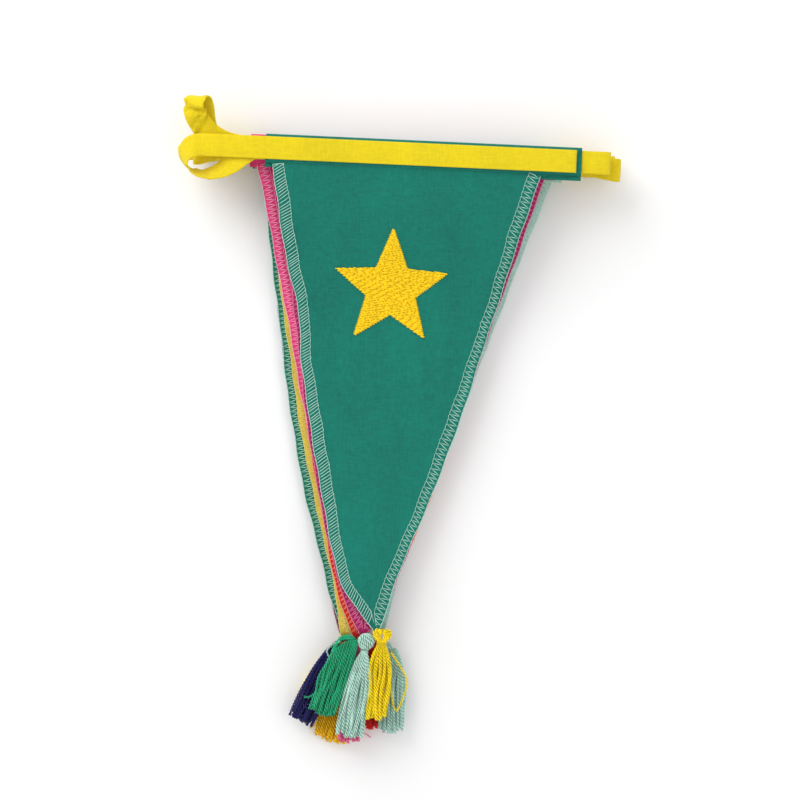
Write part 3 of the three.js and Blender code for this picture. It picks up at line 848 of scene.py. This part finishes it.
def fold_stations(after, side, reach, sag):
    upper, lower = hem_height(after), hem_height(after + 1)
    radius = (upper - lower) / 2
    turn_at = reach - radius
    outward = [(side * mix(81, turn_at, s), -sag * float(ease(s, 0, 1))) for s in (0, 0.5, 1)]
    rows = [(x, y, upper, None) for x, y in outward]
    for i in range(1, 6):
        turn = math.pi * i / 6
        x, z = turn_at + radius * math.sin(turn), lower + radius + radius * math.cos(turn)
        rows.append((side * x, -sag, z, None))
    return rows + [(x, y, lower, None) for x, y in reversed(outward)]


stations = [(77.7, 0, 26.9, None)]
stations += [(x, y, hem_height(0) + lift, roll) for x, y, lift, roll in OPEN_LOOP]
stations += [(-62.5, 0, hem_height(0), None), *fold_stations(*FOLDS[0])]
stations += [(x, y, hem_height(1) + lift, roll) for x, y, lift, roll in RAISED_LOOP]
stations += [(-69, 0, hem_height(2), None)]
for fold in FOLDS[1:]:
    stations += fold_stations(*fold)
stations += [(90, 0, hem_height(LAYERS - 1), None)]
print("tape stations", len(stations))

# %% The ribbon's course
TAPE_STEP = 1.1


def rows_at(knots, rows, at):
    """Rows of values, such as points, at other distances along the tape."""
    return np.column_stack([np.interp(at, knots, column) for column in rows.T])


spots = np.array([row[:3] for row in stations], float)
across = np.zeros_like(spots)
for i, (_, _, _, hold) in enumerate(stations):
    course = spots[min(i + 1, len(spots) - 1)] - spots[max(i - 1, 0)]
    course /= np.linalg.norm(course)
    if hold is None:
        wide = np.array([0.0, 1.0, 0.0])
    elif isinstance(hold, tuple):
        wide = np.array(hold, float)
    else:
        level = np.cross(course, (0, 0, 1))
        roll = math.radians(hold)
        wide = level / np.linalg.norm(level) * math.cos(roll) - np.array([0, 0, math.sin(roll)])
    wide -= course * wide.dot(course)
    across[i] = wide / np.linalg.norm(wide)

gaps = np.linalg.norm(np.diff(spots, axis=0), axis=1)
run = run_along(spots)
at = [np.linspace(a, b, max(2, int(gap / TAPE_STEP)) + 1)[:-1] for a, b, gap in zip(run, run[1:], gaps)]
at = np.concatenate([*at, run[-1:]])
path = np.column_stack([smooth_at(run, column, at) for column in spots.T])
course = unit(np.gradient(path, axis=0))
wide = rows_at(run, across, at)
wide = unit(wide - course * (wide * course).sum(axis=1, keepdims=True))
face = np.cross(wide, course)
free = ease(np.abs(path[:, 0]), 66, 80)
print("tape length", round(run[-1] / 1000, 3), "m in", len(at), "steps")

# %% The tape's section and buckles
SEAM_AT = -0.37  # share of the tape's width, from its middle
SECTION_HIGH = 0.84  # the section below is drawn this high and scaled to the tape
CREASE_WIDE = 0.7
half_section = [(-0.5, 0.22), (-0.47, 0.38), (-0.41, 0.42), (SEAM_AT, 0.30), (-0.33, 0.42), (-0.15, 0.42),
                (0.1, 0.42), (0.32, 0.42), (0.47, 0.40), (0.5, 0.24)]
section = half_section + [(u, -t) for u, t in reversed(half_section)]

# Creases of the two loops: how far along the loop, how it slants across the width, how deep it is
LOOP_STARTS = [run[1], run[len(OPEN_LOOP) + 2 + len(fold_stations(*FOLDS[0]))]]
LOOP_CREASES = [
    [(6, 5, -0.6), (13, -6, 0.5), (19, 5, -0.5), (26, -4, 0.5)],
    [(22, 6, 0.6), (28.5, 5, -0.9), (30.2, 5, 1.7), (32, 5, -1.3), (36.2, -4, -1.9), (38, -4, 1.2),
     (44, -5, -0.7), (58, 6, -0.5)],
]
CREASES = [
    (begin + s, slant, deep) for begin, rows in zip(LOOP_STARTS, LOOP_CREASES) for s, slant, deep in rows
]


def buckle(s, u):
    """How far the free tape bulges from its own plane."""
    soft = 0.20 * np.sin(s / 2.9 + 2.2 * u) * np.sin(s / 7.1 + 1) + 0.10 * np.sin(s / 1.9 - 3 * u)
    sharp = sum(deep * np.exp(-((s - mid - slant * u) / CREASE_WIDE) ** 2) for mid, slant, deep in CREASES)
    return soft + sharp


ribbon = np.zeros((len(at), len(section), 3))
for j, (u, t) in enumerate(section):
    off = t * TAPE_THIN / SECTION_HIGH + free * buckle(at, u)
    ribbon[:, j] = path + wide * (u * TAPE_WIDTH) + face * off[:, None]
n, m = ribbon.shape[:2]
i = np.arange((n - 1) * m).reshape(n - 1, m)
j = np.roll(i, -1, axis=1)
faces = np.stack([i, j, j + m, i + m], axis=-1).reshape(-1, 4).tolist()
faces += [list(range(m))[::-1], list(range((n - 1) * m, n * m))]
tape_cotton = cotton("tape_cotton", (230, 205, 24), 0.35, 1.0)
tape = make_piece("tape_ribbon", ribbon.reshape(-1, 3), faces, tape_cotton, ["tape"])
print("tape faces", len(faces))

# %% The seam along the tape
TAPE_SEAM_PITCH, TAPE_SEAM_THREAD = 2.2, 0.13
SEAM_RUN, SEAM_RISE = np.array([0, 0.4, 1.3, 1.7]), np.array([0.18, 0.40, 0.40, 0.18])
seam = Heap()
for s in np.arange(2, run[-1] - 3, TAPE_SEAM_PITCH):
    if free[np.searchsorted(at, s)] < 0.5:
        continue
    ts = s + SEAM_RUN
    w = rows_at(at, wide, ts)
    for sign in (1, -1):
        off = sign * SEAM_RISE + np.interp(ts, at, free) * buckle(ts, SEAM_AT)
        stitch = rows_at(at, path, ts) + w * SEAM_AT * TAPE_WIDTH + rows_at(at, face, ts) * off[:, None]
        seam.thread(stitch, TAPE_SEAM_THREAD, up=tuple(w[1]))
tape_seam = make_heap("tape_seam", seam, spun("tape_seam_thread", (236, 214, 50), 0.2))
print("seam faces", len(seam.faces))

# %% [markdown]
# ## The tassels
# A tassel is a bundle of two-ply yarn folded over a tie, bound below the fold and cut straight. Hair
# particles could do it, but yarn this thick shows its twist, so every yarn is two plies, each a
# swept thread that winds round the yarn's course. They are bundled at the neck and settle into four rows.
# Each point also notes how far it stands out of its yarn, which the finish reads as a mask that paints
# shade between the plies and highlight on their tops.

# %% Tassel sizes
# Name, level in the pile, middle of the head, middle of the cut end, half the spread, colour
TASSELS = [
    ("yellow", 2, 1.7, -214.6, 0.6, -251.5, 4.1, (255, 226, 4)),
    ("mint", 2, -5.3, -216.9, -11.2, -259.4, 5.8, (184, 222, 208)),
    ("pink", 1, -7.5, -221, -11, -262.2, 4.8, (240, 106, 156)),
    ("mustard", 0, -9.7, -221.5, -19.9, -262.5, 7.2, (252, 200, 8)),
    ("green", 2, -12.9, -217.3, -24.1, -250, 5.9, (30, 166, 116)),
    ("navy", 1, -16.5, -218.5, -33.8, -254.1, 5.6, (22, 20, 92)),
    ("sea", 1, 6, -219.5, 7.4, -257, 5.3, (176, 216, 205)),
    ("red", 0, -1.4, -222.1, -1.1, -256.4, 5.8, (236, 36, 28)),
    ("lemon", 0, -17.8, -221.4, -31.5, -245, 4.6, (246, 220, 24)),
]
# How a tassel differs from the plain one: flare of the skirt, its half width at the neck, where the neck
# lies, its bulge, how far its top lies to the left, how much later its yarns start towards the left and
# towards both sides, the head's scale, its pull to the right and up, and whether the neck is bound
PLAIN_BUILD = {"flare": 4.5, "neck": 1.5, "neck_at": 3.4, "bulge": 0.1, "lean": 0, "slant": 0, "round": 0.8,
               "scale": 0.9, "pull": (0, 0), "bound": True}
BUILDS = {
    "yellow": {"flare": 9.0, "neck": 1.9, "neck_at": 2.2, "bulge": 0.34, "scale": 1.0, "pull": (0, 1.0)},
    "mint": {"neck": 1.1, "neck_at": 3.0, "scale": 1.08, "pull": (0, 1.0)},
    "green": {"flare": 5.0, "neck": 4.3, "neck_at": -2.0, "lean": 1.0, "slant": 1.33, "round": 0,
              "scale": 1.0, "bound": False},
    "navy": {"flare": 6.0, "neck": 2.2, "neck_at": -2.0, "lean": 0.8, "round": 2.5, "scale": 0.7,
             "pull": (2.2, 1.0)},
    "sea": {"flare": 6.0, "neck": 2.0, "neck_at": -0.8, "lean": -1.6, "round": 4.0, "scale": 0.72,
            "pull": (-2.0, 1.2)},
    "lemon": {"lean": 0.3, "scale": 0.7, "pull": (2.0, 0.5)},
}
LEVEL_PITCH = 5.6  # from one level of tassels to the next
HEAD_RADIUS, HEAD_FLATTEN = 3.5, 0.86
YARN, THIN_YARN, TIE_YARN = 0.70, 0.62, 0.42  # half of a yarn's width
PLY_TURN = 3.1  # the length of one full twist
PLY_SIDES, PLY_OUT, PLY_RADIUS = 5, 0.58, 0.48  # the last two as shares of the yarn
YARN_STEP = 0.48
print("tassels", [row[0] for row in TASSELS])

# %% A plied yarn


def yarn(heap, path, radius=YARN, size=None, up=(0, 0, 1), phase=0.0):
    """A yarn of two plies that wind round each other along a path."""
    path = np.asarray(path, float)
    size = np.ones(len(path)) if size is None else np.asarray(size, float)
    side, lift = sideways(path, up)
    run = run_along(path)
    for ply in (0, math.pi):
        turn = phase + ply + 2 * math.pi * run / PLY_TURN
        out = PLY_OUT * radius * size[:, None]
        centre = path + out * (np.cos(turn)[:, None] * side + np.sin(turn)[:, None] * lift)
        points, faces = sweep(centre, ring(PLY_SIDES, PLY_RADIUS * radius), up=up, size=size, turn=turn)
        away = np.linalg.norm(points.reshape(len(path), PLY_SIDES, 3) - path[:, None], axis=2)
        # How far each point stands out of the yarn: the mask for painted shade and highlight on the plies
        heap.add(points, faces, (away / ((PLY_OUT + PLY_RADIUS) * radius * size[:, None])).ravel())


trial = Heap()
yarn(trial, smooth_path([(0, 0, 0), (0, -10, 0), (0, -20, 0)], YARN_STEP))
print("two centimetres of yarn have", trial.count, "points")

# %% A tassel's own directions


class TasselFrame:
    """Places points by their distance down a tassel, to its side, and their height."""

    def __init__(self, index):
        name, level, head_x, head_y, end_x, end_y, spread, colour = TASSELS[index]
        self.name, self.spread, self.colour = name, spread, colour
        self.build = {**PLAIN_BUILD, **BUILDS.get(name, {})}
        self.base = level * LEVEL_PITCH
        self.head_z = self.base + HEAD_RADIUS * HEAD_FLATTEN
        self.head = np.array([head_x, head_y], float)
        reach = np.array([end_x, end_y], float) - self.head
        self.length = float(np.linalg.norm(reach))
        self.along = reach / self.length
        self.side = np.array([self.along[1], -self.along[0]])

    def head_at(self, down, aside, z):
        """As at, but scaled and moved with this tassel's head."""
        scale, pull = self.build["scale"], np.array([*self.build["pull"], 0])
        down, aside, z = (np.asarray(v, float) for v in (down, aside, z))
        moved = np.asarray(1 - ease(down, 2, 4.2))[..., None] * pull
        return self.at(down * scale, aside * scale, self.head_z + (z - self.head_z) * scale) + moved

    def at(self, down, aside, z):
        down, aside, z = np.broadcast_arrays(*(np.asarray(v, float) for v in (down, aside, z)))
        flat = self.head + down[..., None] * self.along + aside[..., None] * self.side
        return np.concatenate([flat, z[..., None]], axis=-1)


print("the front tassel is", round(TasselFrame(0).length, 1), "mm long")

# %% The cut yarns of a skirt
# How much of the width each row of yarns fills, from the lowest one up
FULLNESS = [0.90, 1.0, 0.98, 0.88]
COLUMNS_PER_MM = 1.5
ROW_RISE = 0.98
CUT_UNEVEN = 2.6  # the shortest yarn is this much shorter than the longest
BOB = 0.3  # how far a yarn rises and dips on its way


def drift(draw, t, slow, fast):
    """A wave along a yarn, with a random length and start."""
    return np.sin(2 * math.pi * (draw.uniform(slow, fast) * t + draw.uniform(0, 1)))


def skirt(heap, tassel, draw):
    build = tassel.build
    for row, fullness in enumerate(FULLNESS):
        columns = max(6, round(tassel.spread * COLUMNS_PER_MM)) - row % 2
        for column in range(columns):
            share = (column - (columns - 1) / 2) / (columns / 2) * fullness
            start = build["neck_at"] + build["slant"] * max(share * build["neck"] + build["lean"] - 0.3, 0)
            start += build["round"] * share * share
            end = tassel.length - draw.uniform(0, CUT_UNEVEN) - 1.2 * share * share
            down = np.arange(start, end, YARN_STEP)
            t = (down - start) / (tassel.length - start)
            fan = 1 + build["bulge"] * np.sin(math.pi * t ** 0.8)
            half = mix(build["neck"], tassel.spread, 1 - (1 - t) ** build["flare"]) * fan
            settled = ease(t, 0, 0.35)
            wander = draw.uniform(0.3, 0.95) * drift(draw, t, 0.5, 1.3) * ease(t, 0.05, 0.5)
            bob = BOB * drift(draw, t, 0.8, 1.8)
            low = tassel.base + YARN * 1.06 + row * ROW_RISE + draw.uniform(-0.22, 0.38) * (row > 0)
            # Rows start close together in the neck and settle on those below
            z = mix(tassel.head_z + (row - 1.5) * 0.75, low, settled) + bob * settled * (row > 0)
            size = mix(0.75, 1.0, ease(t, 0, 0.15)) * (1 + 0.15 * ease(down, end - 1.2, end))
            aside = share * half + wander + build["lean"] * (1 - t) ** 1.5
            path = tassel.at(down, aside, np.maximum(z, YARN * 1.25))
            yarn(heap, path, size=size, phase=draw.uniform(0, 6))


print("rows of yarns in a skirt", len(FULLNESS))

# %% [markdown]
# Three kinds of head show in the picture: a ball of yarns folded over the tie, two fat loops that stand
# out to the sides, and a wide arch that was never bound. Each is drawn yarn by yarn, like the skirt.

# %% Heads
HEAD_YARNS = 15
ARCH_YARNS = 12


def ball_head(heap, tassel, draw):
    """Yarns folded over the tie make a ball: meridians over a core."""
    core_turn = np.linspace(0.15, 2.7, 9)
    core = tassel.head_at(-2.6 * np.cos(core_turn), np.zeros(9), np.full(9, tassel.head_z))
    heap.add(*sweep(core, ring(10), size=2.45 * np.sin(core_turn) * tassel.build["scale"]))
    for k in range(HEAD_YARNS):
        turn = np.linspace(2.74, 0.1, 20)
        around = 2 * math.pi * k / HEAD_YARNS + 0.7 * (1 - turn / 2.7) + draw.uniform(-0.08, 0.08)
        radius = 2.9 * np.sin(turn)
        path = tassel.head_at(-3.0 * np.cos(turn), radius * np.cos(around),
                              tassel.head_z + HEAD_FLATTEN * radius * np.sin(around))
        size = mix(0.75, 1.1, np.sin(turn)) * tassel.build["scale"]
        yarn(heap, path, radius=THIN_YARN, size=size, up=(*tassel.side, 0.3), phase=k)


# Seven points of a loop, to the side and down, for the smallest loop, and how much the largest adds to them
LOOP_WIDE = [0.4, 0.5, 0.7, 1.1, 1.2, 0.9, 0.3], [0, 0.6, 1.8, 2.5, 2.4, 1.5, 0]
LOOP_DOWN = [3.4, 2.2, 0.9, -0.3, -1.1, -1.5, -1.3], [0, 0, 0, -0.4, -1.2, -1.8, -1.2]


def looped_head(heap, tassel, draw):
    """Yarns that stand out from the neck in two fat loops, small loops inside large ones."""
    for sign in (-1, 1):
        for k in range(HEAD_YARNS):
            out, lift = (k % 5) / 4, (k // 5 - 1) * 0.95
            wide, down = (np.array(small) + out * np.array(more) for small, more in (LOOP_WIDE, LOOP_DOWN))
            z = tassel.head_z + lift * np.array([0.4, 0.8, 1, 1, 0.9, 0.7, 0.5])
            knots = tassel.head_at(down, sign * wide, z)
            yarn(heap, smooth_path(knots, YARN_STEP), radius=0.6, phase=draw.uniform(0, 6))


# The outer course of the arch, down the tassel and to its side, and the middle of its hole
ARCH = [
    (6.4, 5.6), (2.6, 5.4), (-1.2, 4.5), (-3.2, 2.1), (-3.6, -0.7), (-2.2, -3.0), (1.8, -4.1), (6.0, -4.2),
]
ARCH_HOLE = (0.8, 2.6)


def arched_head(heap, tassel, draw):
    """Yarns that were never bound: they run over in a wide arch and leave a hole below it."""
    outer, hole = np.array(ARCH), np.array(ARCH_HOLE)
    for k in range(ARCH_YARNS):
        inward = 0.06 + 0.13 * (k % 4)
        spots = outer + (hole - outer) * inward * np.array([0.4, 0.6, 0.8, 0.8, 0.7, 0.8, 1, 1])[:, None]
        z = tassel.head_z + 0.9 * (k // 4) - 0.9 + np.array([-1.6, -0.8, 0, 0.3, 0.3, 0, -0.6, -1.6]) * 0.6
        knots = tassel.at(spots[:, 0], spots[:, 1] + draw.uniform(-0.15, 0.15), z)
        yarn(heap, smooth_path(knots, YARN_STEP), radius=THIN_YARN, phase=draw.uniform(0, 6))


HEAD_OF = {"yellow": looped_head, "green": arched_head, "navy": looped_head}
print("heads that are no ball", list(HEAD_OF))

# %% Bindings and ties


def binding(heap, tassel):
    """A thin yarn that winds two and a half times round the neck."""
    turns = np.linspace(0, 2 * math.pi * 2.5, 40)
    neck_at = tassel.build["neck_at"] + 0.3
    down = mix(neck_at - 0.6, neck_at + 0.8, turns / turns[-1])
    round_neck = min(tassel.build["neck"], 1.7) + 0.3
    path = tassel.head_at(down, round_neck * np.cos(turns), tassel.head_z + 0.9 * round_neck * np.sin(turns))
    yarn(heap, path, radius=TIE_YARN, up=(*tassel.along, 0))


def tie(heap, tassel, index):
    """Two strands from the crown that go under the pennant's tip."""
    _, middles, length, *_ = PENNANTS[index]
    tip_level = float(cloth_level(index, middles[3], float(length)))
    below = -CLOTH_THIN / 2 - 0.45
    for off in (0.45, -0.45):
        knots = [tassel.head_at(down, off * 0.8, tassel.head_z + off) for down in (-1.8, -3.3)]
        knots += [
            np.array([middles[3] + off * share, -length + up, tip_level + below * deep])
            for share, up, deep in ((1, -0.4, 0.7), (0.6, 2.2, 1), (0.6, 3.2, 1))
        ]
        yarn(heap, smooth_path(knots, YARN_STEP), radius=TIE_YARN)


print("the front tip hides its tie at", round(float(cloth_level(0, PENNANTS[0][1][3], 211.0)), 1), "mm up")

# %% The nine tassels
yarn_finish = {}
for index in range(LAYERS):
    tassel = TasselFrame(index)
    draw = np.random.default_rng(100 + index)
    heap = Heap()
    skirt(heap, tassel, draw)
    HEAD_OF.get(tassel.name, ball_head)(heap, tassel, draw)
    if tassel.build["bound"]:
        binding(heap, tassel)
    tie(heap, tassel, index)
    node, slot = f"tassel_{index + 1}_{tassel.name}", f"{tassel.name}_yarn"
    # The yarn finish paints shade between the plies and highlight on them
    yarn_finish[tassel.name] = spun(slot, tassel.colour, 0.6, ply_shade_depth=1.0)
    make_heap(f"yarns_{tassel.name}", heap, yarn_finish[tassel.name], [node])
    print(node, "faces", len(heap.faces))

# %% [markdown]
# ## Loose yarns
# The picture shows a few yarns that have worked free: a long yellow loop beside the front tassel, a mint
# one across the navy tassel, and stray ends. They lie on whatever is below them.

# %% Loose yarns
# Name, thickness, and points: two of the picture, in pixels, and the height in millimetres
LOOSE = [
    ("yellow", 0.5, [(391, 652, 13.2), (396, 660, 12.2), (401, 668, 11.2), (406, 677, 10.6), (407, 685, 10.5),
                     (403, 698, 10.5), (397, 711, 10.5), (394, 708, 10.6), (391.5, 696, 10.8),
                     (390, 682, 11.6)]),
    ("mint", 0.5, [(340, 641, 15.5), (335, 643, 13.5), (330, 647, 11.6), (327, 651, 10.8), (328.5, 656, 10.6),
                   (330, 660, 10.6), (328, 667, 11), (326, 673, 11.4)]),
    ("green", 0.55, [(318, 690, 13.4), (313, 695, 12.2), (308, 697.5, 11), (304, 697, 10.5)]),
    ("pink", 0.3, [(357, 731, 7.6), (362, 733, 6.2), (366, 736, 3.2), (370.5, 740, 0.7)]),
    ("mustard", 0.5, [(338, 647, 12.6), (341, 644, 13.4), (345, 641.5, 13.6), (349, 638.5, 12.8)]),
    ("mustard", 0.4, [(316, 719, 3.4), (311, 723, 2.2), (307, 723, 1.0), (304.5, 720, 0.6)]),
    ("mustard", 0.35, [(318, 722, 3.2), (314, 727, 1.8), (309, 731, 0.6)]),
]
for number, (name, radius, rows) in enumerate(LOOSE, 1):
    knots = [(*from_picture(px, py), z) for px, py, z in rows]
    heap = Heap()
    yarn(heap, smooth_path(knots, YARN_STEP), radius=radius)
    label = f"loose_{name}_{number}"
    make_heap(label, heap, yarn_finish[name])
    print(label)

# %% [markdown]
# ## Declaring the cloth
# The frame wants to know what is a sheet and how large its flat cut was. Each pennant names the threads
# that go with it. The tape is a sheet too: a strip ten millimetres wide.

# %% Sheets, box and the end
for (cloth, flat, area), threads, stitches_of in zip(cloths, overlocks, hem_stitches):
    companions = [threads, stitches_of]
    if cloth.name == "cloth_teal":
        companions += [star, underlay]
